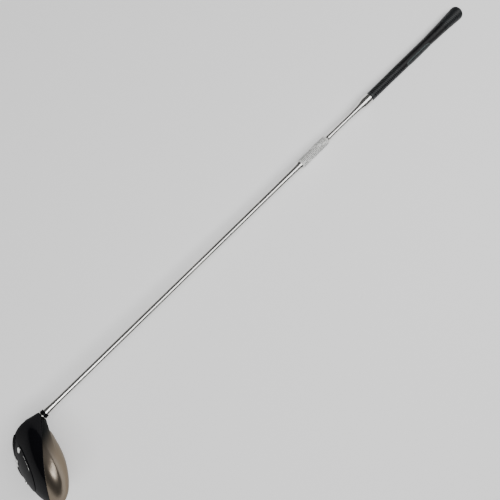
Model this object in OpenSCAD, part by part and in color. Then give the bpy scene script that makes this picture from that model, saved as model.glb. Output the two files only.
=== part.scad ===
// Driver-style golf swing trainer with a slim steel neck below the grip.
// The club lies along X. The butt end's centre is the origin, and +X points out of the butt,
// so every distance down the club is a negative x. Z points up from the surface it lies on.

/* [Grip] */
// Length of the rubber grip, from the butt to its mouth
grip_len = 288.5; // [260:0.5:300]
// Radius of the widest band, at the cap
cap_r = 14.2; // [13:0.1:15]
// Radius of the grip at its middle
grip_mid_r = 9.9; // [9:0.1:11]
// Radius of the grip at its mouth
grip_mouth_r = 9.2; // [8.8:0.1:10]
// Radius of the vent hole in the cap
vent_r = 1.5; // [1:0.1:2]
// Height of the raised pad over the grip
panel_rise = 1.2; // [0.6:0.1:1.6]

/* [Handle and neck] */
// Outer radius of the handle tube inside the grip
handle_r = 7.2; // [6.8:0.1:7.6]
// Radius of the slim steel neck
neck_r = 5.1; // [4.8:0.1:5.4]
// Largest radius of the trumpet at the grip's mouth
collar_r = 9.9; // [9.3:0.1:10.4]
// Distance from the butt to the trumpet's narrow end
collar_end = 347; // [335:1:360]

/* [Coupling and shaft] */
// Distance from the butt to the coupling's narrow end
coupling_start = 396; // [390:1:402]
// Distance from the butt to the coupling's wide end
coupling_end = 494; // [490:1:510]
// Radius of the coupling under its label
coupling_r = 8.3; // [8.1:0.1:9]
// Outer radius of the lower shaft in the coupling
shaft_top_r = 6.9; // [6.6:0.1:7.1]
// Outer radius of the lower shaft at the head
tip_r = 5.1; // [4.9:0.1:5.3]
// Wall of the steel tubes
tube_wall = 1.3; // [1:0.1:1.6]
// Distance from the butt to the ferrule's top
ferrule_top = 1077; // [1074:1:1079]
// Distance from the butt to the ferrule's bottom
ferrule_bottom = 1084; // [1083:1:1087]

/* [Head] */
// Angle between the shaft and the sole's plane, in degrees
lie = 60; // [54:1:62]
// Roll of the head about the shaft, in degrees
roll = -48; // [-70:1:-30]
// Distance along the shaft from the ferrule's bottom to the head's middle plane
drop = 22; // [20:1:25]
// Reach of the head from its middle to the toe
toe_reach = 64; // [58:1:70]
// Reach of the head from its middle to the heel
heel_reach = 61; // [58:1:64]
// Reach of the head from its middle to the back
back_reach = 96; // [85:1:100]
// Reach of the head from its middle to the face
face_reach = 20; // [16:1:24]
// Height of the crown over the middle plane
crown_h = 30; // [26:1:33]
// Depth of the sole under the middle plane
sole_h = 31; // [28:1:34]
// Middle of the head, towards the toe from the shaft's axis
head_x = 42; // [39:1:45]
// Middle of the head, towards the back from the shaft's axis
head_y = 9; // [6:1:12]
// Height of the seam between crown and body over the shaft's axis
seam_h = 21; // [18:1:23]
// Slope of the seam, down towards the back, in degrees
seam_tilt = 21; // [15:1:24]
// Wall of the head's shells
shell_wall = 2; // [1.4:0.1:3]

/* [Hidden] */
$fn = 64;
tape_t = 0.2;
cap_t = 6;
panel_start = 108;
panel_end = 182;
panel_turn = 45;
panel_span = 68;
plug_len = 20;
spigot_len = 28;
rod_start = grip_len - spigot_len;
rod_end = 450;
socket_start = 452;
label_t = 0.5;
label_start = 418;
label_end = 490;
hosel_r = 7.2;
hosel_depth = 50;
// Flare of the hosel into the head: its depth, and its radius there
flare_depth = 20;
flare_r = 13;
tip_start = ferrule_bottom + 45;
// The shaft swells over this length to this radius just above the ferrule
swell_len = 27;
swell_r = 6.6;
ring_len = 1.4;
weight_r = 9;
screw_r = 4;
// Where the crown is lowest, and the share of its height that it has there
heel_low_x = -25;
heel_share = 0.45;
// Where the sole's screws sit: their turn from the back, and their height angle
screw_turn = 74;
screw_height = -58;
// Height angles of the sole plate's rings, and of its edge
plate_steps = [-78, -67, -59];
plate_edge = -52;
// Powers that shape the head's outline: 1 is round, and less is squarer
ROUND_BACK = 0.9;
SQUARE_FACE = 0.7;
// Points round the head, and steps from its rim to its pole
HEAD_N = 48;
HEAD_STEPS = 9;
CORNER = 3;
PLATE_GAP = 0.3;

// ---- shapes that repeat ----

// Turns a profile of [distance from the butt, radius] pairs about the club's axis
module turned(profile) {
    rotate([0, -90, 0]) rotate_extrude($fn = 96) polygon([for (p = profile) [p[1], p[0]]]);
}

// A straight round bar between two distances from the butt
module bar(from, to, r) {
    translate([-to, 0, 0]) rotate([0, 90, 0]) cylinder(h = to - from, r = r);
}

// A straight tube between two distances from the butt
module pipe(from, to, r_out, r_in) {
    turned([[from, r_in], [from, r_out], [to, r_out], [to, r_in]]);
}

// A closed solid through a first point, rings of HEAD_N points and a last point
module ring_solid(first, rings, last, flip = false) {
    count = len(rings);
    n = len(rings[0]);
    end = 1 + count * n;
    top = [for (i = [0:n - 1]) [0, 1 + (i + 1) % n, 1 + i]];
    sides = [for (k = [0:count - 2], i = [0:n - 1])
        [1 + k * n + i, 1 + k * n + (i + 1) % n, 1 + (k + 1) * n + (i + 1) % n, 1 + (k + 1) * n + i]];
    bottom = [for (i = [0:n - 1]) [end, end - n + i, end - n + (i + 1) % n]];
    faces = concat(top, sides, bottom);
    turned_faces = [for (f = faces) [for (j = [len(f) - 1:-1:0]) f[j]]];
    polyhedron(points = concat([first], [for (r = rings) each r], [last]),
        faces = flip ? turned_faces : faces, convexity = 6);
}

// Places the head's own frame (x to the toe, y to the back, z to the crown) on the shaft.
// The mirror makes it a right-handed head.
module head_frame() {
    translate([-(ferrule_bottom + drop), 0, 0]) rotate([roll, 0, 0]) rotate([0, 180 - lie, 0])
    mirror([0, 1, 0]) children();
}

// A signed power, which rounds or squares an outline
function spow(v, e) = sign(v) * pow(abs(v), e);

// A point of the head's outer surface, grown by g: th goes round it, ps from sole to crown
function head_point(th, ps, g) =
    let (
        c = cos(th),
        s = sin(th),
        squeeze = pow(max(cos(ps), 0), 2 / (2 + CORNER * max(-s, 0))),
        along = (c > 0 ? toe_reach : heel_reach) + g,
        deep = (s > 0 ? back_reach : face_reach) + g,
        tall = (ps > 0 ? crown_h : sole_h) + g,
        x = head_x + along * spow(c, ROUND_BACK) * squeeze
    )
    [x, head_y + deep * spow(s, s < 0 ? SQUARE_FACE : ROUND_BACK) * squeeze,
     tall * sin(ps) * (ps > 0 ? crown_share(x) : 1)];

// The crown is lower towards the heel: the share of its height that it has at x
function crown_share(x) =
    let (t = max(0, min(1, (x - heel_low_x) / (head_x - heel_low_x))))
    heel_share + (1 - heel_share) * t * t * (3 - 2 * t);

// The direction straight out of the head's surface
function head_normal(th, ps) =
    let (
        across = head_point(th + 1, ps, 0) - head_point(th - 1, ps, 0),
        up = head_point(th, ps + 1, 0) - head_point(th, ps - 1, 0),
        n = cross(across, up)
    )
    n / norm(n);

// One ring of the head's surface at height angle ps
function head_ring(ps, g) = [for (i = [0:HEAD_N - 1]) head_point(360 * i / HEAD_N, ps, g)];

// A point of the face's disc: r from its middle, a round it
function face_point(r, a, g) = head_point(-88 + 56 * r * cos(a), 50 * r * sin(a), g);

function face_ring(r, g) = [for (i = [0:HEAD_N - 1]) face_point(r, 360 * i / HEAD_N, g)];

// The outside of the hosel, grown by g: it flares into the head and runs on inside as a tube
function hosel_profile(g) = [[ferrule_bottom, 0], [ferrule_bottom, hosel_r + g],
    [ferrule_bottom + 5, hosel_r + 0.8 + g], [ferrule_bottom + 10, 0.5 * (flare_r + hosel_r) + g],
    [ferrule_bottom + flare_depth, flare_r + g], [ferrule_bottom + flare_depth + 2, flare_r + g],
    [ferrule_bottom + flare_depth + 2, hosel_r + g], [ferrule_bottom + hosel_depth, hosel_r + g],
    [ferrule_bottom + hosel_depth, 0]];

// Cuts the room for the hosel out of a head shell
module around_hosel() {
    difference() {
        children();
        turned(hosel_profile(0.05));
    }
}

// ---- grip ----

module grip_sleeve() {
    color([0.06, 0.06, 0.065])
    difference() {
        turned([[0, 0], [0, 7], [0.8, 10.6], [2.4, 13], [5, cap_r], [11, cap_r], [28, 13],
            [45, 12], [65, 11.35], [84, 10.8], [106, grip_mid_r], [190, grip_mid_r],
            [234, grip_mouth_r + 0.1], [grip_len, grip_mouth_r],
            [grip_len, handle_r + tape_t], [cap_t, handle_r + tape_t], [cap_t, 0]]);
        bar(-1, cap_t + 1, vent_r);
    }
}

// The raised pad follows the grip and covers part of its round, centred on panel_turn from +Z
module grip_panel() {
    bottom = grip_mid_r + 0.05;
    top = grip_mid_r + panel_rise;
    bevel = 1.5;
    color([0.09, 0.1, 0.1])
    rotate([0, -90, 0]) rotate([0, 0, -panel_turn - panel_span / 2])
    rotate_extrude(angle = panel_span)
    polygon([[bottom, panel_start], [top, panel_start + bevel],
        [top, panel_end - bevel], [bottom, panel_end]]);
}

module grip_tape() {
    color([0.75, 0.7, 0.55]) pipe(cap_t + 2, grip_len - 1, handle_r + tape_t, handle_r);
}

// ---- handle and neck ----

module handle_plug() {
    color([0.25, 0.25, 0.26])
    pipe(cap_t + 1, cap_t + 1 + plug_len, handle_r - tube_wall, vent_r);
}

module handle_tube() {
    color([0.66, 0.66, 0.66]) pipe(cap_t + 0.5, grip_len, handle_r, handle_r - tube_wall);
}

module collar_seal() {
    color([0.05, 0.05, 0.05]) pipe(grip_len, grip_len + 2.5, grip_mouth_r + 0.2, handle_r - tube_wall);
}

module grip_collar() {
    seat = grip_len + 2.5;
    color([0.86, 0.86, 0.85])
    turned([[rod_start, neck_r], [rod_start, handle_r - tube_wall - 0.01],
        [seat, handle_r - tube_wall - 0.01],
        [seat, collar_r - 0.4], [seat + 0.6, collar_r], [305, collar_r], [309, 9.2], [313, 8.1],
        [317, 7.2], [321, 6.6], [330, 6], [collar_end, neck_r + 0.25], [collar_end, neck_r]]);
}

module neck_rod() {
    color([0.86, 0.86, 0.85]) bar(rod_start, rod_end, neck_r);
}

module coupling() {
    color([0.84, 0.84, 0.83])
    turned([[coupling_start, neck_r], [coupling_start, neck_r + 0.2], [405, 5.6], [410, 6.1],
        [413.5, 6.7], [416, 7.5], [label_start, coupling_r], [label_end, coupling_r],
        [coupling_end - 2, coupling_r - 0.4], [coupling_end, shaft_top_r + 0.3],
        [coupling_end, shaft_top_r], [socket_start, shaft_top_r], [socket_start, neck_r]]);
}

module label() {
    color([0.93, 0.93, 0.92]) pipe(label_start + 0.5, label_end - 0.5, coupling_r + label_t, coupling_r);
}

// ---- lower shaft ----

module lower_shaft() {
    color([0.82, 0.82, 0.81])
    turned([[socket_start + 2, shaft_top_r], [coupling_end, shaft_top_r], [500, 6.5], [518, 6.2],
        [534, 5.95], [550, 5.7], [640, 5.45], [730, tip_r], [ferrule_top - swell_len, tip_r],
        [ferrule_top - swell_len / 2, tip_r + 0.6], [ferrule_top, swell_r], [ferrule_top, tip_r],
        [tip_start, tip_r],
        [tip_start, tip_r - tube_wall], [730, tip_r - tube_wall], [640, 5.45 - tube_wall],
        [550, 5.7 - tube_wall], [518, 6.2 - tube_wall], [coupling_end, shaft_top_r - tube_wall],
        [socket_start + 2, shaft_top_r - tube_wall]]);
}

module tip_weight() {
    color([0.75, 0.6, 0.25]) {
        bar(tip_start - 12, tip_start - 1, tip_r - tube_wall);
        bar(tip_start - 45, tip_start - 11, 2);
    }
}

module ferrule() {
    color([0.03, 0.03, 0.035])
    turned([[ferrule_top, tip_r], [ferrule_top, swell_r + 0.2], [ferrule_bottom - ring_len, hosel_r],
        [ferrule_bottom - ring_len, tip_r]]);
}

module ferrule_ring() {
    color([0.75, 0.75, 0.73]) pipe(ferrule_bottom - ring_len, ferrule_bottom, hosel_r + 0.1, tip_r);
}

// ---- head ----

module hosel_tube() {
    color([0.05, 0.05, 0.055])
    difference() {
        turned(hosel_profile(0));
        bar(ferrule_bottom - 1, tip_start + 0.5, tip_r);
    }
}

// The head's whole skin, grown by g, as one closed solid
module head_solid(g) {
    steps = [for (k = [1 - HEAD_STEPS:HEAD_STEPS - 1]) 90 * k / HEAD_STEPS];
    ring_solid(head_point(0, -90, g), [for (p = steps) head_ring(p, g)], head_point(0, 90, g), flip = true);
}

// The hollow head in its own frame
module head_skin() {
    difference() {
        head_solid(0);
        head_solid(-shell_wall);
    }
}

// All the space over the seam between crown and body, raised by lift
module over_seam(lift) {
    translate([0, 0, seam_h + lift]) rotate([-seam_tilt, 0, 0])
    translate([-150, -150, 0]) cube([300, 300, 150]);
}

module head_body() {
    color([0.03, 0.03, 0.035])
    around_hosel()
    head_frame()
    difference() {
        head_skin();
        over_seam(0);
        translate([head_x, head_y, -sole_h - 3]) cylinder(h = 12, r = weight_r);
    }
}

module crown() {
    color([0.55, 0.5, 0.45])
    around_hosel()
    head_frame()
    intersection() {
        head_skin();
        over_seam(0.2);
    }
}

module face_plate() {
    rims = [0.25, 0.5, 0.75, 1];
    t = 2.4;
    color([0.7, 0.67, 0.62])
    head_frame()
    ring_solid(face_point(0, 0, t), concat([for (r = rims) face_ring(r, r < 1 ? t : t - 0.6)],
        [for (k = [3:-1:0]) face_ring(rims[k], PLATE_GAP)]), face_point(0, 0, PLATE_GAP));
}

// Puts a screw's frame on the sole at the heel (-1) or the toe (1), with +Z straight out of it
module on_sole(side) {
    th = 90 - side * screw_turn;
    n = head_normal(th, screw_height);
    translate(head_point(th, screw_height, 0)) rotate([0, acos(n.z), atan2(n.y, n.x)]) children();
}

module sole_plate() {
    outside = concat([for (p = plate_steps) head_ring(p, 1.2)], [head_ring(plate_edge, 1)]);
    inside = [for (k = [len(plate_steps) - 1:-1:0]) head_ring(plate_steps[k], PLATE_GAP)];
    color([0.05, 0.05, 0.055])
    head_frame()
    difference() {
        ring_solid(head_point(0, -90, 1.2), concat(outside, [head_ring(plate_edge, PLATE_GAP)], inside),
            head_point(0, -90, PLATE_GAP), flip = true);
        translate([head_x, head_y, -sole_h - 3]) cylinder(h = 12, r = weight_r);
        for (side = [-1, 1]) on_sole(side) cylinder(h = 8, r = screw_r + 0.1, center = true);
    }
}

module sole_weight() {
    color([0.6, 0.6, 0.6])
    head_frame() translate([head_x, head_y, -sole_h - 1.4])
    difference() {
        union() {
            cylinder(h = 4, r = weight_r - 0.1);
            cylinder(h = 9, r = weight_r - 3);
        }
        translate([0, 0, -1]) cylinder(h = 3, r = 2.6, $fn = 6);
    }
}

// Two flat screws on the sole, at the heel and the toe, square to its surface
module sole_screws() {
    color([0.7, 0.7, 0.7])
    head_frame()
    for (side = [-1, 1]) on_sole(side) {
        translate([0, 0, PLATE_GAP]) cylinder(h = 1.6, r = screw_r);
        translate([0, 0, -6]) cylinder(h = 7, r = 1.8);
    }
}

grip_sleeve();
grip_panel();
grip_tape();
handle_plug();
handle_tube();
collar_seal();
grip_collar();
neck_rod();
coupling();
label();
lower_shaft();
tip_weight();
ferrule();
ferrule_ring();
hosel_tube();
head_body();
crown();
face_plate();
sole_plate();
sole_weight();
sole_screws();
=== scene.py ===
import math

import bmesh
import bpy
from mathutils import Matrix, Vector


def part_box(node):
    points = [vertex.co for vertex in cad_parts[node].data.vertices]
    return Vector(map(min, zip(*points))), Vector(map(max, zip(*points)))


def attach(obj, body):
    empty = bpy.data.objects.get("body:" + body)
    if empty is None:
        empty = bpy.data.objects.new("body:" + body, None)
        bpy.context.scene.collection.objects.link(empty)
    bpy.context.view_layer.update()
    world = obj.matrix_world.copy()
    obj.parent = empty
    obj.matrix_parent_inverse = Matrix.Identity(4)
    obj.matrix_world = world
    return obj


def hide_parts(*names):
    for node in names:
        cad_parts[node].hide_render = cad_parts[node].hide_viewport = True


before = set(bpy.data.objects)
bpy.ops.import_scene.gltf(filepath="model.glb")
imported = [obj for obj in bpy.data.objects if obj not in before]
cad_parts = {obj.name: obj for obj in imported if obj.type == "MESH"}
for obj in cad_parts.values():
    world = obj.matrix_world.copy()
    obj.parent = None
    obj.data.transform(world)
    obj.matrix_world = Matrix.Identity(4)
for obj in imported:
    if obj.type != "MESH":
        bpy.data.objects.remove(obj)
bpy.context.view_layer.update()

MM = 0.001
BODY = "root"

# ---------------------------------------------------------------- the club's driving sizes
# Distances run down the club from the butt, in mm, as in the CAD.
GRIP_MOUTH = -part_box("grip_sleeve")[0].x / MM
PAD_START, PAD_END = -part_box("grip_panel")[1].x / MM, -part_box("grip_panel")[0].x / MM
LABEL_START, LABEL_END = -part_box("label")[1].x / MM, -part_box("label")[0].x / MM
FERRULE_TOP = -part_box("ferrule")[1].x / MM
FERRULE_BOTTOM = -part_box("ferrule_ring")[0].x / MM

# The head, in its own frame: x to the toe, y to the back, z to the crown
LIE = math.radians(60)
ROLL = math.radians(-48)
DROP = 22
TOE, HEEL, BACK, FRONT = 64, 61, 96, 20
CROWN_H, SOLE_H = 30, 31
MID_X, MID_Y = 42, 9
SQUARE_FRONT = 3
ROUND_BACK, SQUARE_FACE = 0.9, 0.7
# The crown is lowest at this x, where it has this share of its height
HEEL_LOW_X, HEEL_SHARE = -25, 0.45
# The seam between the crown and the body: its height over the shaft's axis, and its slope to the back
SEAM_H = 21
SEAM_TILT = math.radians(21)
SEAM_NORMAL = Vector((0, math.sin(SEAM_TILT), math.cos(SEAM_TILT)))


def head_matrix():
    """From the head's own frame, in mm, to the club's frame, in metres."""
    place = Matrix.Translation((-(FERRULE_BOTTOM + DROP), 0, 0))
    turn = Matrix.Rotation(ROLL, 4, "X") @ Matrix.Rotation(math.pi - LIE, 4, "Y")
    return Matrix.Scale(MM, 4) @ place @ turn @ Matrix.Diagonal((1, -1, 1, 1))


HEAD = head_matrix()


# ---------------------------------------------------------------- meshes
def spow(v, e):
    return math.copysign(abs(v) ** e, v)


def add_object(name, bm, material):
    """Turns a bmesh into a smooth-shaded object in the scene, with one material."""
    bmesh.ops.recalc_face_normals(bm, faces=bm.faces)
    mesh = bpy.data.meshes.new(name)
    bm.to_mesh(mesh)
    bm.free()
    obj = bpy.data.objects.new(name, mesh)
    bpy.context.scene.collection.objects.link(obj)
    for polygon in mesh.polygons:
        polygon.use_smooth = True
    mesh.materials.append(material)
    return obj


def stands_for(obj, slot, *nodes):
    """Rides obj on the club, in place of these CAD nodes."""
    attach(obj, BODY)
    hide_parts(*nodes)


def rings_to_bmesh(rings, first=None, last=None, closed=False):
    """A skin over rings of points, with a point or nothing at each end."""
    bm = bmesh.new()
    made = [[bm.verts.new(p) for p in ring] for ring in rings]
    n = len(rings[0])
    pairs = list(zip(made, made[1:]))
    if closed:
        pairs.append((made[-1], made[0]))
    for a, b in pairs:
        for i in range(n):
            j = (i + 1) % n
            bm.faces.new((a[i], a[j], b[j], b[i]))
    for point, ring in ((first, made[0]), (last, made[-1])):
        if point is not None:
            tip = bm.verts.new(point)
            for i in range(n):
                bm.faces.new((tip, ring[i], ring[(i + 1) % n]))
    return bm


def turned(profile, sides=96, wobble=None):
    """Turns (distance, radius) pairs about the club's axis. wobble changes a radius at an angle."""
    rings = []
    for s, r in profile:
        ring = []
        for i in range(sides):
            a = 2 * math.pi * i / sides
            radius = r if wobble is None else r + wobble(s, r, a)
            ring.append((-s * MM, -radius * math.sin(a) * MM, radius * math.cos(a) * MM))
        rings.append(ring)
    return rings_to_bmesh(rings, closed=True)


def between(table, s):
    """Straight-line interpolation in a list of (distance, value) pairs."""
    if s <= table[0][0]:
        return table[0][1]
    for (a, va), (b, vb) in zip(table, table[1:]):
        if s <= b:
            return va + (vb - va) * (s - a) / (b - a)
    return table[-1][1]


def smoothstep(lo, hi, v):
    t = min(1, max(0, (v - lo) / (hi - lo)))
    return t * t * (3 - 2 * t)


# ---------------------------------------------------------------- materials
def new_material(name, color, roughness, metallic=0.0):
    m = bpy.data.materials.new(name)
    m.use_nodes = True
    shader = m.node_tree.nodes["Principled BSDF"]
    shader.inputs["Base Color"].default_value = (*color, 1)
    shader.inputs["Roughness"].default_value = roughness
    shader.inputs["Metallic"].default_value = metallic
    return m, m.node_tree, shader


def object_coordinates(tree, scale):
    """Object coordinates, stretched by scale."""
    where = tree.nodes.new("ShaderNodeTexCoord")
    mapping = tree.nodes.new("ShaderNodeMapping")
    mapping.inputs["Scale"].default_value = scale
    tree.links.new(where.outputs["Object"], mapping.inputs["Vector"])
    return mapping.outputs["Vector"]


def noise(tree, scale, detail=4.0, roughness=0.5):
    n = tree.nodes.new("ShaderNodeTexNoise")
    n.inputs["Scale"].default_value = 1
    n.inputs["Detail"].default_value = detail
    n.inputs["Roughness"].default_value = roughness
    tree.links.new(object_coordinates(tree, scale), n.inputs["Vector"])
    return n.outputs["Fac"]


def ramp(tree, value, stops):
    r = tree.nodes.new("ShaderNodeValToRGB")
    while len(r.color_ramp.elements) < len(stops):
        r.color_ramp.elements.new(0.5)
    for e, (at, color) in zip(r.color_ramp.elements, stops):
        e.position = at
        e.color = (*color, 1)
    tree.links.new(value, r.inputs["Fac"])
    return r.outputs["Color"]


def span(tree, value, low, high):
    """Maps a 0 to 1 value to the range from low to high."""
    m = tree.nodes.new("ShaderNodeMapRange")
    m.inputs["To Min"].default_value = low
    m.inputs["To Max"].default_value = high
    tree.links.new(value, m.inputs["Value"])
    return m.outputs["Result"]


def bump(tree, shader, height, strength, distance):
    b = tree.nodes.new("ShaderNodeBump")
    b.inputs["Strength"].default_value = strength
    b.inputs["Distance"].default_value = distance
    tree.links.new(height, b.inputs["Height"])
    tree.links.new(b.outputs["Normal"], shader.inputs["Normal"])


def rubber_material():
    """Black rubber with a painted highlight on the rib tops at both ends and painted shade in the grooves;
    the scaled middle takes the same darkest tone.
    """
    m, tree, shader = new_material("rubber", (0.008, 0.009, 0.010), 0.5)
    grain = noise(tree, (900, 900, 900), 3)
    rib = tree.nodes.new("ShaderNodeAttribute")
    rib.attribute_name = "rib"
    # Painted light: a painted highlight on the rib tops, painted shade in the grooves, and the darkest tone
    # across the scaled middle
    rib_sheen_and_groove_shade = ramp(tree, rib.outputs["Fac"],
                [(0.0, (0.003, 0.003, 0.004)), (0.6, (0.005, 0.006, 0.007)), (1.0, (0.03, 0.034, 0.036))])
    mix = tree.nodes.new("ShaderNodeMix")
    mix.data_type = "RGBA"
    mix.blend_type = "MULTIPLY"
    mix.inputs[0].default_value = 1
    tree.links.new(rib_sheen_and_groove_shade, mix.inputs[6])
    tree.links.new(ramp(tree, grain, [(0.3, (0.6, 0.6, 0.6)), (0.75, (1, 1, 1))]), mix.inputs[7])
    tree.links.new(mix.outputs[2], shader.inputs["Base Color"])
    tree.links.new(span(tree, grain, 0.34, 0.46), shader.inputs["Roughness"])
    shader.inputs["Specular IOR Level"].default_value = 0.3
    bump(tree, shader, grain, 0.25, 0.0004)
    return m


def pad_material():
    m, tree, shader = new_material("rubber_pad", (0.012, 0.014, 0.015), 0.45)
    grain = noise(tree, (500, 1400, 1400), 3)
    tree.links.new(ramp(tree, grain, [(0.3, (0.008, 0.009, 0.01)), (0.7, (0.017, 0.02, 0.021))]),
                   shader.inputs["Base Color"])
    tree.links.new(span(tree, grain, 0.36, 0.5), shader.inputs["Roughness"])
    bump(tree, shader, grain, 0.15, 0.0003)
    return m


def pad_line_material():
    m, tree, shader = new_material("pad_line", (0.13, 0.2, 0.19), 0.5)
    wear = noise(tree, (300, 900, 900), 4)
    tree.links.new(ramp(tree, wear, [(0.35, (0.06, 0.09, 0.09)), (0.65, (0.17, 0.25, 0.24))]),
                   shader.inputs["Base Color"])
    return m


def steel_material(name="steel", color=(0.78, 0.77, 0.75), low=0.14, high=0.24):
    """Bright drawn steel, with very fine lines round it and a little haze."""
    m, tree, shader = new_material(name, color, low, 1.0)
    lines = noise(tree, (2600, 12, 12), 2)
    haze = noise(tree, (18, 60, 60), 4)
    tree.links.new(span(tree, haze, low, high), shader.inputs["Roughness"])
    light = tuple(min(1, c * 1.06) for c in color)
    dark = tuple(c * 0.9 for c in color)
    tree.links.new(ramp(tree, haze, [(0.3, dark), (0.7, light)]), shader.inputs["Base Color"])
    bump(tree, shader, lines, 0.04, 0.0002)
    return m


def label_material():
    m, tree, shader = new_material("label_paper", (0.82, 0.82, 0.8), 0.45)
    fibre = noise(tree, (400, 700, 700), 5)
    tree.links.new(ramp(tree, fibre, [(0.3, (0.74, 0.74, 0.72)), (0.7, (0.86, 0.86, 0.84))]),
                   shader.inputs["Base Color"])
    bump(tree, shader, fibre, 0.1, 0.0003)
    shader.inputs["Coat Weight"].default_value = 0.15
    return m


def ink_material():
    m, tree, shader = new_material("grey_ink", (0.35, 0.36, 0.36), 0.5)
    patch = noise(tree, (600, 600, 600), 3)
    tree.links.new(ramp(tree, patch, [(0.35, (0.045, 0.05, 0.05)), (0.65, (0.14, 0.15, 0.145))]),
                   shader.inputs["Base Color"])
    return m


def gloss_black_material(name="gloss_black"):
    m, tree, shader = new_material(name, (0.004, 0.004, 0.005), 0.12)
    flake = noise(tree, (1500, 1500, 1500), 2)
    tree.links.new(ramp(tree, flake, [(0.4, (0.003, 0.003, 0.004)), (0.8, (0.008, 0.008, 0.010))]),
                   shader.inputs["Base Color"])
    tree.links.new(span(tree, noise(tree, (30, 30, 30), 4), 0.05, 0.12), shader.inputs["Roughness"])
    shader.inputs["Specular IOR Level"].default_value = 0.0
    shader.inputs["Coat Weight"].default_value = 0.15
    shader.inputs["Coat Roughness"].default_value = 0.05
    return m


def crown_material():
    """Champagne metal with heel-to-toe brushing, which fades to black lacquer near the hosel."""
    m, tree, shader = new_material("crown_metal", (0.55, 0.5, 0.45), 0.3, 1.0)
    fade = tree.nodes.new("ShaderNodeAttribute")
    fade.attribute_name = "fade"
    along = tree.nodes.new("ShaderNodeAttribute")
    along.attribute_name = "head_place"
    stretch = tree.nodes.new("ShaderNodeMapping")
    stretch.inputs["Scale"].default_value = (0.02, 0.9, 0.9)
    tree.links.new(along.outputs["Vector"], stretch.inputs["Vector"])
    streak = tree.nodes.new("ShaderNodeTexNoise")
    streak.inputs["Scale"].default_value = 1
    streak.inputs["Detail"].default_value = 5
    tree.links.new(stretch.outputs["Vector"], streak.inputs["Vector"])
    metal = ramp(tree, streak.outputs["Fac"],
                 [(0.3, (0.15, 0.125, 0.1)), (0.7, (0.36, 0.305, 0.245))])
    mix = tree.nodes.new("ShaderNodeMix")
    mix.data_type = "RGBA"
    tree.links.new(fade.outputs["Fac"], mix.inputs[0])
    mix.inputs[6].default_value = (0.005, 0.006, 0.006, 1)
    tree.links.new(metal, mix.inputs[7])
    tree.links.new(mix.outputs[2], shader.inputs["Base Color"])
    tree.links.new(fade.outputs["Fac"], shader.inputs["Metallic"])
    shader.inputs["Specular IOR Level"].default_value = 0.0
    shader.inputs["Specular Tint"].default_value = (0.44, 0.4, 0.35, 1)
    shader.inputs["Coat Weight"].default_value = 0.08
    tree.links.new(span(tree, streak.outputs["Fac"], 0.26, 0.4), shader.inputs["Roughness"])
    bump(tree, shader, streak.outputs["Fac"], 0.05, 0.0003)
    return m


def face_material():
    m, tree, shader = new_material("face_metal", (0.4, 0.39, 0.37), 0.35, 1.0)
    brush = noise(tree, (40, 1600, 1600), 3)
    tree.links.new(ramp(tree, brush, [(0.3, (0.3, 0.29, 0.28)), (0.7, (0.5, 0.49, 0.47))]),
                   shader.inputs["Base Color"])
    tree.links.new(span(tree, brush, 0.28, 0.42), shader.inputs["Roughness"])
    bump(tree, shader, brush, 0.1, 0.0003)
    return m


def plain_grain(name, color, roughness, metallic=0.0):
    """A turned or moulded part, with a little variation in colour and finish."""
    m, tree, shader = new_material(name, color, roughness, metallic)
    grain = noise(tree, (700, 700, 700), 4)
    tree.links.new(ramp(tree, grain, [(0.3, tuple(c * 0.8 for c in color)), (0.7, color)]),
                   shader.inputs["Base Color"])
    tree.links.new(span(tree, grain, roughness * 0.8, roughness * 1.2), shader.inputs["Roughness"])
    return m


RUBBER = rubber_material()
PAD = pad_material()
PAD_LINE = pad_line_material()
STEEL = steel_material()
TUBE_STEEL = steel_material("tube_steel", (0.5, 0.5, 0.5), 0.3, 0.45)
LABEL = label_material()
INK = ink_material()
BLACK = gloss_black_material()
HEAD_BLACK = gloss_black_material("head_black")
CROWN = crown_material()
FACE = face_material()
RING = plain_grain("trim_ring", (0.7, 0.69, 0.66), 0.25, 1.0)
SCREW = plain_grain("screw_steel", (0.85, 0.85, 0.83), 0.3, 1.0)
BRASS = plain_grain("brass", (0.7, 0.5, 0.2), 0.3, 1.0)
TAPE = plain_grain("tape", (0.6, 0.55, 0.4), 0.8)
PLUG = plain_grain("plug_plastic", (0.06, 0.06, 0.065), 0.5)


# ---------------------------------------------------------------- camera, floor and light
# The camera looks down at the club from the head's side, and is turned about its own view.
CAMERA_AT = Vector((-0.931, -0.045, 0.924))
RIGHT = Vector((0.681, -0.707, 0.193)).normalized()
UP = Vector((0.679, 0.707, 0.193)).normalized()
LENS = 40.3


def make_camera():
    data = bpy.data.cameras.new("camera")
    data.lens = LENS
    data.sensor_width = 36
    data.clip_start = 0.01
    camera = bpy.data.objects.new("camera", data)
    back = RIGHT.cross(UP).normalized()
    up = back.cross(RIGHT)
    turn = Matrix((RIGHT, up, back)).transposed().to_4x4()
    camera.matrix_world = Matrix.Translation(CAMERA_AT) @ turn
    bpy.context.scene.collection.objects.link(camera)
    bpy.context.scene.camera = camera


# Where the cap and the face plate stand on the floor, along the club, and the floor's gap under them
CAP_AT, FACE_AT = -0.008, -1.1
FLOOR_GAP = 0.0005


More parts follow.
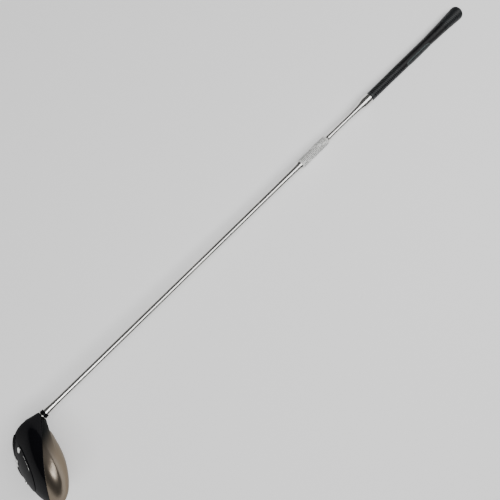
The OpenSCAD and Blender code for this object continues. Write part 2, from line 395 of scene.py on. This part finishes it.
def make_floor(head_low):
    """A pale floor that slopes a little, just under the cap's and the head's lowest points."""
    head_low = min((head_low, (FACE_AT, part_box("face_plate")[0].z)), key=lambda p: p[1])
    cap_low = (CAP_AT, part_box("grip_sleeve")[0].z)
    slope = (cap_low[1] - head_low[1]) / (cap_low[0] - head_low[0])
    half = 6
    middle = -0.6
    level = cap_low[1] + slope * (middle - cap_low[0]) - FLOOR_GAP
    bm = bmesh.new()
    corners = [bm.verts.new((middle + x, y, level + slope * x))
               for x, y in ((-half, -half), (half, -half), (half, half), (-half, half))]
    bm.faces.new(corners)
    m, tree, shader = new_material("floor", (0.85, 0.85, 0.85), 0.8)
    shader.inputs["Emission Color"].default_value = (1, 1, 1, 1)
    shader.inputs["Emission Strength"].default_value = 0.4
    floor = add_object("floor", bm, m)
    if floor.data.polygons[0].normal.z < 0:
        floor.data.flip_normals()


def area_light(name, at, target, size, size_y, power):
    data = bpy.data.lights.new(name, "AREA")
    data.energy = power
    data.shape = "RECTANGLE"
    data.size = size
    data.size_y = size_y
    light = bpy.data.objects.new(name, data)
    light.location = at
    light.rotation_euler = (Vector(target) - Vector(at)).to_track_quat("-Z", "Y").to_euler()
    bpy.context.scene.collection.objects.link(light)


def make_light():
    """A long softbox over the shaft, a smaller one over the head, and a dim room."""
    world = bpy.data.worlds.new("studio")
    bpy.context.scene.world = world
    world.use_nodes = True
    sky = world.node_tree.nodes["Background"]
    sky.inputs["Color"].default_value = (1, 1, 1, 1)
    sky.inputs["Strength"].default_value = 0.1
    area_light("softbox", (0.7, -0.5, 2.0), (0.7, -0.5001, 0), 3.8, 1.4, 58)
    area_light("head_box", (-1.6, -0.35, 2.0), (-1.3, -0.1, 0), 1.2, 0.6, 16)


# ---------------------------------------------------------------- grip
GRIP_PROFILE = [(0, 7), (0.8, 10.6), (2.4, 13), (5, 14.1), (11, 14.1), (28, 12.95), (45, 11.95),
                (65, 11.3), (84, 10.7), (106, 9.85), (190, 9.8), (234, 9.25), (GRIP_MOUTH, 9.15)]
VENT_R = 1.5
GRIP_BORE = 7.45
# The depth of the grooves, and the pitch of the ribs and of the scales
GROOVE = 0.8
RIB_PITCH = 4.4
SCALE_PITCH = 3.2


def rib_share(s):
    """How far the ribs, and not the scales, cover the grip at this distance: both ends are ribbed."""
    return 1 - smoothstep(50, 70, s) + smoothstep(180, 205, s)


def grip_wobble(s, a):
    """The grip's texture: rings of slanting ribs at both ends, and small scales between."""
    if s < 3:
        return 0
    ribbed = rib_share(s)
    start = smoothstep(3, 9, s)
    slant = 2.5 * math.sin(a)
    rib = smoothstep(0.25, 0.95, 0.5 + 0.5 * math.cos(2 * math.pi * (s + slant) / RIB_PITCH))
    scale = (0.5 + 0.5 * math.cos(2 * math.pi * s / SCALE_PITCH + 9 * a)) \
        * (0.5 + 0.5 * math.cos(2 * math.pi * s / SCALE_PITCH - 9 * a))
    end_calm = 1 - smoothstep(GRIP_MOUTH - 6, GRIP_MOUTH - 3, s)
    return -GROOVE * start * end_calm * (ribbed * rib + 0.5 * (1 - ribbed) * scale)


def make_grip():
    fine = [(0, 1.5), (0, 4), (0, 7), (0.35, 9), (0.8, 10.6), (1.5, 12), (2.4, 13), (3.5, 13.75)]
    step = 0.55
    count = int((GRIP_MOUTH - 1 - 5) / step)
    body = [(5 + step * i, between(GRIP_PROFILE, 5 + step * i)) for i in range(count + 1)]
    mouth = [(GRIP_MOUTH - 0.5, 9.1), (GRIP_MOUTH - 0.1, 8.9), (GRIP_MOUTH, 8.6), (GRIP_MOUTH, GRIP_BORE)]
    inside = [(6, GRIP_BORE), (6, VENT_R)]
    bm = turned(fine + body + mouth + inside, sides=144,
                wobble=lambda s, r, a: grip_wobble(s, a) if r > 9 and s > 3 else 0)
    grip = add_object("grip", bm, RUBBER)
    mark_ribs(grip)
    stands_for(grip, "rubber", "grip_sleeve")


def mark_ribs(grip):
    """Stores how high each point of the ribs stands: 1 on a rib, 0 in a groove or between the ends."""
    # The rubber paints its highlight on the rib tops and its shade in the grooves from this height
    rib = grip.data.attributes.new("rib", "FLOAT", "POINT")
    for i, v in enumerate(grip.data.vertices):
        s, a = -v.co.x / MM, math.atan2(-v.co.y, v.co.z)
        rib.data[i].value = rib_share(s) * (1 + grip_wobble(s, a) / GROOVE)


# The pad's middle and half width round the grip, the radius that it sits on, and its height
PAD_TURN = math.radians(45)
PAD_HALF = math.radians(34)
PAD_BASE = 9.88
PAD_RISE = 1.0
PAD_SIDES = 120


def pad_outline(inset):
    """A long pad's outline as (distance, angle): two straight sides and S-curved ends."""
    mid = (PAD_START + PAD_END) / 2
    half = (PAD_END - PAD_START) / 2 - inset
    wide = PAD_HALF - inset / PAD_BASE
    points = []
    for i in range(PAD_SIDES):
        t = 2 * math.pi * i / PAD_SIDES
        u = spow(math.cos(t), 0.35)
        v = spow(math.sin(t), 0.6)
        points.append((mid + half * u - 5 * v, PAD_TURN + wide * v))
    return points


def on_grip(s, a, r):
    return (-s * MM, -r * math.sin(a) * MM, r * math.cos(a) * MM)


def pad_ring(inset, r):
    """The pad's outline, drawn in by inset, at radius r."""
    return [on_grip(s, a, r) for s, a in pad_outline(inset)]


def pad_strip(outer, inner, low, high):
    """A closed strip on the grip between two outlines."""
    return rings_to_bmesh([pad_ring(outer, low), pad_ring(outer, high - 0.25), pad_ring(outer + 0.3, high),
                           pad_ring(inner, high), pad_ring(inner, low)], closed=True)


def make_pad():
    """The smooth raised pad and the thin pale line just inside its edge."""
    top, bottom = PAD_BASE + PAD_RISE, PAD_BASE - 0.3
    edge = 0.5
    top_rings = 12
    mid = (PAD_START + PAD_END) / 2
    rings = [pad_ring(0.0, bottom), pad_ring(0.0, PAD_BASE + 0.5), pad_ring(edge, top)]
    for k in range(1, top_rings):
        shrink = 1 - k / top_rings
        rings.append([on_grip(mid + (s - mid) * shrink, PAD_TURN + (a - PAD_TURN) * shrink, top)
                      for s, a in pad_outline(edge)])
    bm = rings_to_bmesh(rings, first=on_grip(mid, PAD_TURN, bottom), last=on_grip(mid, PAD_TURN, top))
    stands_for(add_object("grip_pad", bm, PAD), "rubber_pad", "grip_panel")
    line = add_object("grip_pad_line", pad_strip(1.4, 2.1, PAD_BASE + 0.6, top + 0.06), PAD_LINE)
    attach(line, BODY)


# ---------------------------------------------------------------- steel neck and shaft
# The neck's radius, and the two steel trumpets as (distance, radius) pairs
NECK = 5.1
COLLAR_PROFILE = [(291, 9.5), (291.6, 9.85), (297, 9.9), (304, 9.75), (309, 9.05), (313, 8.05), (318, 7.0),
                  (324, 6.4), (331, 5.95), (339, 5.6), (347, 5.35)]
COUPLING_PROFILE = [(396, 5.3), (402, 5.45), (407, 5.8), (411, 6.3), (414.5, 7.0), (416.8, 7.8), (418, 8.3),
                    (490, 8.3), (492, 7.9), (493.5, 7.4), (494, 7.2)]


def curve_through(points, count):
    """More points along a profile, on a smooth curve through the given ones."""
    out = []
    for i in range(len(points) - 1):
        p0 = points[max(0, i - 1)]
        p1, p2 = points[i], points[i + 1]
        p3 = points[min(len(points) - 1, i + 2)]
        for k in range(count):
            t = k / count
            out.append(tuple(
                0.5 * (2 * b + (c - a) * t + (2 * a - 5 * b + 4 * c - d) * t * t
                       + (3 * b - a - 3 * c + d) * t ** 3)
                for a, b, c, d in zip(p0, p1, p2, p3)))
    out.append(points[-1])
    return out


def make_steel():
    collar = turned(curve_through(COLLAR_PROFILE, 5) + [(347, NECK), (291, NECK)])
    stands_for(add_object("neck_collar", collar, STEEL), "polished_steel", "grip_collar")
    trumpet, sleeve = COUPLING_PROFILE[:7], COUPLING_PROFILE[7:]
    coupling = turned(curve_through(trumpet, 5) + sleeve + [(494, 6.9), (396, NECK)])
    stands_for(add_object("shaft_coupling", coupling, STEEL), "polished_steel", "coupling")


# ---------------------------------------------------------------- label
# The label's radius, and the angle where its end laps over itself
LABEL_R = 8.8
LAP_TURN = math.radians(105)


def lap(a):
    """How far the paper lies in at an angle, where its end laps over itself."""
    past = (a - LAP_TURN) % (2 * math.pi)
    return -0.28 * smoothstep(0, math.radians(50), past)


def make_label():
    """A paper wrap whose end laps over itself."""
    rows = 24
    body = [(LABEL_START + (LABEL_END - LABEL_START) * i / rows, LABEL_R) for i in range(rows + 1)]
    bm = turned(body + [(LABEL_END, 8.32), (LABEL_START, 8.32)], sides=160,
                wobble=lambda s, r, a: lap(a) if r > LABEL_R - 0.1 else 0)
    stands_for(add_object("label_wrap", bm, LABEL), "label_paper", "label")


def make_rules():
    """Plain printed dashes in rows along the label, with no letters among them."""
    bm = bmesh.new()
    rule_rows, row_turn = 14, math.radians(18)
    half = math.radians(3.6)
    for row in range(rule_rows):
        a = row_turn * (row - rule_rows // 2)
        r = LABEL_R + lap(a % (2 * math.pi)) + 0.04
        s = LABEL_START + 3
        step = 0
        while s < LABEL_END - 4:
            length = 2.2 + (row * 5 + step * 7) % 4 * 1.6
            end = min(s + length, LABEL_END - 3)
            if (row + step) % 9:
                corners = [bm.verts.new(on_grip(at, turn, r)) for at, turn in
                           ((s, a - half), (end, a - half), (end, a + half), (s, a + half))]
                bm.faces.new(corners)
            s = end + 1.3
            step += 1
    rules = add_object("label_rules", bm, INK)
    thicken = rules.modifiers.new("thick", "SOLIDIFY")
    thicken.thickness = 0.0001
    thicken.offset = -1
    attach(rules, BODY)


# ---------------------------------------------------------------- ferrule
# The shaft's radius at the head, with a hair of room, and the bright ring's length
TIP_R = 5.12
RING_LEN = 1.4


def make_ferrule():
    """The black cone with one groove round it, and the bright ring under it."""
    top, bottom = FERRULE_TOP, FERRULE_BOTTOM - RING_LEN
    profile = [(top, TIP_R), (top, 6.6), (top + 0.3, 6.8), (top + 2, 6.9), (top + 2.2, 6.65),
               (top + 2.8, 6.65), (top + 3, 6.95), (bottom, HOSEL_R), (bottom, TIP_R)]
    stands_for(add_object("ferrule_cone", turned(profile), BLACK), "gloss_black", "ferrule")
    ring = [(bottom, TIP_R), (bottom, HOSEL_R - 0.05), (bottom + 0.25, HOSEL_R + 0.1),
            (bottom + 1.15, HOSEL_R + 0.1), (bottom + RING_LEN, HOSEL_R - 0.05), (bottom + RING_LEN, TIP_R)]
    stands_for(add_object("ferrule_trim", turned(ring), RING), "trim_ring", "ferrule_ring")


# ---------------------------------------------------------------- head
HOSEL_R = 7.2
# The smoothing draws the fairing in, so it starts a little wider than the hosel
FAIRING_R = HOSEL_R + 0.9
# The fairing blends into the skin on the heel side of this x
HEEL_HALF = 8


def head_point(th, ps, grow=0.0):
    """A point of the head's skin: th goes round it, and ps goes from sole to crown."""
    c, s = math.cos(th), math.sin(th)
    squeeze = max(math.cos(ps), 0) ** (2 / (2 + SQUARE_FRONT * max(-s, 0)))
    along = (TOE if c > 0 else HEEL) + grow
    deep = (BACK if s > 0 else FRONT) + grow
    tall = (CROWN_H if ps > 0 else SOLE_H) + grow
    x = MID_X + along * spow(c, ROUND_BACK) * squeeze
    share = HEEL_SHARE + (1 - HEEL_SHARE) * smoothstep(HEEL_LOW_X, MID_X, x) if ps > 0 else 1
    y = MID_Y + deep * spow(s, SQUARE_FACE if s < 0 else ROUND_BACK) * squeeze
    return Vector((x, y, tall * math.sin(ps) * share))


def heel_fairing(points):
    """The smooth neck between the hosel and the heel half of the head, as one convex mesh."""
    axis = Vector((-math.cos(LIE), 0, math.sin(LIE)))
    side = axis.orthogonal().normalized()
    across = axis.cross(side)
    bm = bmesh.new()
    for depth in (0, 2):
        for i in range(64):
            a = 2 * math.pi * i / 64
            bm.verts.new(axis * (DROP - depth) + (side * math.cos(a) + across * math.sin(a)) * FAIRING_R)
    for p in points:
        if p.x < HEEL_HALF:
            bm.verts.new(p)
    made = bmesh.ops.convex_hull(bm, input=bm.verts[:])
    spare = [g for g in made["geom_interior"] + made["geom_unused"] if isinstance(g, bmesh.types.BMVert)]
    bmesh.ops.delete(bm, geom=list(set(spare)), context="VERTS")
    return bm


def head_skin():
    """The whole head as one mesh in its own frame: the shell joined to the hosel's fairing, and smoothed."""
    around, up = 120, 60
    rings = []
    for k in range(1, up):
        ps = -math.pi / 2 + math.pi * k / up
        rings.append([head_point(2 * math.pi * i / around, ps) for i in range(around)])
    shell = rings_to_bmesh(rings, first=head_point(0, -math.pi / 2), last=head_point(0, math.pi / 2))
    fairing = heel_fairing([p for ring in rings for p in ring])
    mesh = bpy.data.meshes.new("fairing")
    fairing.to_mesh(mesh)
    fairing.free()
    shell.from_mesh(mesh)
    bpy.data.meshes.remove(mesh)
    obj = add_object("head_skin", shell, HEAD_BLACK)
    remesh = obj.modifiers.new("remesh", "REMESH")
    remesh.mode = "VOXEL"
    remesh.voxel_size = 1.1
    smooth = obj.modifiers.new("smooth", "SMOOTH")
    smooth.factor = 0.5
    smooth.iterations = 24
    return applied(obj)


def applied(obj):
    """obj with its modifiers made part of its mesh."""
    graph = bpy.context.evaluated_depsgraph_get()
    mesh = bpy.data.meshes.new_from_object(obj.evaluated_get(graph))
    obj.modifiers.clear()
    obj.data = mesh
    for polygon in mesh.polygons:
        polygon.use_smooth = True
    return obj


def cut(skin, name, above, material):
    """The part of the head's skin above or below its parting plane, as a closed shell."""
    bm = bmesh.new()
    bm.from_mesh(skin.data)
    gap = 0.15 if above else -0.15
    bmesh.ops.bisect_plane(bm, geom=bm.verts[:] + bm.edges[:] + bm.faces[:],
                           plane_co=Vector((0, 0, SEAM_H)) + SEAM_NORMAL * gap,
                           plane_no=SEAM_NORMAL, clear_inner=above, clear_outer=not above)
    obj = add_object(name, bm, material)
    thick = obj.modifiers.new("wall", "SOLIDIFY")
    thick.thickness = 1.6
    thick.offset = -1
    thick.use_even_offset = False
    return applied(obj)


def mark_places(obj):
    """Stores where each point of the crown is, and how far the black has faded there."""
    mesh = obj.data
    place = mesh.attributes.new("head_place", "FLOAT_VECTOR", "POINT")
    fade = mesh.attributes.new("fade", "FLOAT", "POINT")
    for i, v in enumerate(mesh.vertices):
        place.data[i].vector = v.co
        fade.data[i].value = smoothstep(-18, 22, v.co.x + 0.35 * (v.co.y - 50))


def make_head():
    """Makes the crown and the body, and returns x and z of their lowest point."""
    skin = head_skin()
    crown = cut(skin, "head_crown", True, CROWN)
    mark_places(crown)
    sole = cut(skin, "head_shell", False, HEAD_BLACK)
    bpy.data.objects.remove(skin)
    for obj in (crown, sole):
        obj.data.transform(HEAD)
        obj.data.flip_normals()
    stands_for(crown, "crown_metal", "crown")
    stands_for(sole, "head_black", "head_body")
    low = min((v.co for obj in (crown, sole) for v in obj.data.vertices), key=lambda co: co.z)
    return low.x, low.z


# The face's middle and half width round the head, and its half height, in degrees
FACE_TURN, FACE_HALF_TURN, FACE_HALF_HEIGHT = -88, 56, 50
# How far the face stands off the shell, and the score lines' pitch
FACE_RISE = 2.0
LINE_PITCH = 4.5


def face_point(r, a, grow):
    """A point of the face's disc: r from its middle, and a round it."""
    th = FACE_TURN + FACE_HALF_TURN * r * math.cos(a)
    return head_point(math.radians(th), math.radians(FACE_HALF_HEIGHT * r * math.sin(a)), grow)


def make_face():
    """The face plate: a smooth bulged plate with a bevelled rim and score lines cut across it."""
    rings = []
    sides, steps = 160, 44
    turns = [2 * math.pi * i / sides for i in range(sides)]

    def lift(r, a):
        """How far the face stands out: less in a score line, and less at the rim."""
        p = face_point(r, a, 0)
        x, z = p.x - MID_X, p.z
        line = abs((z + 100) % LINE_PITCH - LINE_PITCH / 2) > 1.85
        inside = abs(z) < 17 and 12 < abs(x) < 34 - abs(z) * 0.4
        return FACE_RISE - (0.35 if line and inside else 0) - 0.6 * smoothstep(0.95, 1, r)

    for step in range(1, steps + 1):
        r = step / steps
        rings.append([face_point(r, a, lift(r, a)) for a in turns])
    rings.append([face_point(1, a, 0.0) for a in turns])
    bm = rings_to_bmesh(rings, first=face_point(0, 0, FACE_RISE), last=face_point(0, 0, 0.0))
    obj = add_object("face", bm, FACE)
    obj.data.transform(HEAD)
    obj.data.flip_normals()
    stands_for(obj, "face_metal", "face_plate")


# The sole plate's edge, as a height angle in degrees, and how far it stands off the sole
PLATE_EDGE = -52
PLATE_RISE = 0.8


def make_sole_plate():
    """The gloss plate on the sole, closed by a shallow cone inside the shell, and polished dashes on it."""
    sides = 160

    def ring(ps, grow):
        return [head_point(2 * math.pi * i / sides, math.radians(ps), grow) for i in range(sides)]

    top = [ring(ps, PLATE_RISE) for ps in range(-89, PLATE_EDGE)]
    rim = [ring(PLATE_EDGE - 0.6, PLATE_RISE - 0.1), ring(PLATE_EDGE - 0.2, PLATE_RISE - 0.35),
           ring(PLATE_EDGE, 0.1), ring(PLATE_EDGE - 1, -0.4)]
    bm = rings_to_bmesh(top + rim, first=head_point(0, -math.pi / 2, PLATE_RISE),
                        last=head_point(0, -math.pi / 2, -0.4))
    plate = add_object("sole_badge", bm, HEAD_BLACK)
    plate.data.transform(HEAD)
    stands_for(plate, "head_black", "sole_plate")

    bm = bmesh.new()
    low, high = math.radians(PLATE_EDGE - 3.1), math.radians(PLATE_EDGE - 2.6)
    for start, end in ((118, 127), (129, 138), (141, 150)):
        for turn in range(start, end):
            a, b = math.radians(turn), math.radians(turn + 1)
            bm.faces.new([bm.verts.new(head_point(th, ps, PLATE_RISE + 0.1))
                          for th, ps in ((a, low), (b, low), (b, high), (a, high))])
    bmesh.ops.remove_doubles(bm, verts=bm.verts[:], dist=0.001)
    dashes = add_object("sole_dashes", bm, SCREW)
    dashes.data.transform(HEAD)
    thicken = dashes.modifiers.new("thick", "SOLIDIFY")
    thicken.thickness = 0.0002
    thicken.offset = 0
    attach(dashes, BODY)


# ---------------------------------------------------------------- carried-over CAD nodes
def dress(node, material):
    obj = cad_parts[node]
    obj.data.materials.clear()
    obj.data.materials.append(material)
    for polygon in obj.data.polygons:
        polygon.material_index = 0


def dress_nodes():
    for node, material in (
            ("neck_rod", STEEL), ("lower_shaft", STEEL), ("handle_tube", TUBE_STEEL),
            ("grip_tape", TAPE), ("handle_plug", PLUG), ("collar_seal", RUBBER),
            ("tip_weight", BRASS), ("hosel_tube", HEAD_BLACK),
            ("sole_weight", SCREW), ("sole_screws", SCREW)):
        dress(node, material)


# ---------------------------------------------------------------- build
make_camera()
make_grip()
make_pad()
make_steel()
make_label()
make_rules()
make_ferrule()
lowest = make_head()
make_face()
make_sole_plate()
dress_nodes()
make_floor(lowest)
make_light()
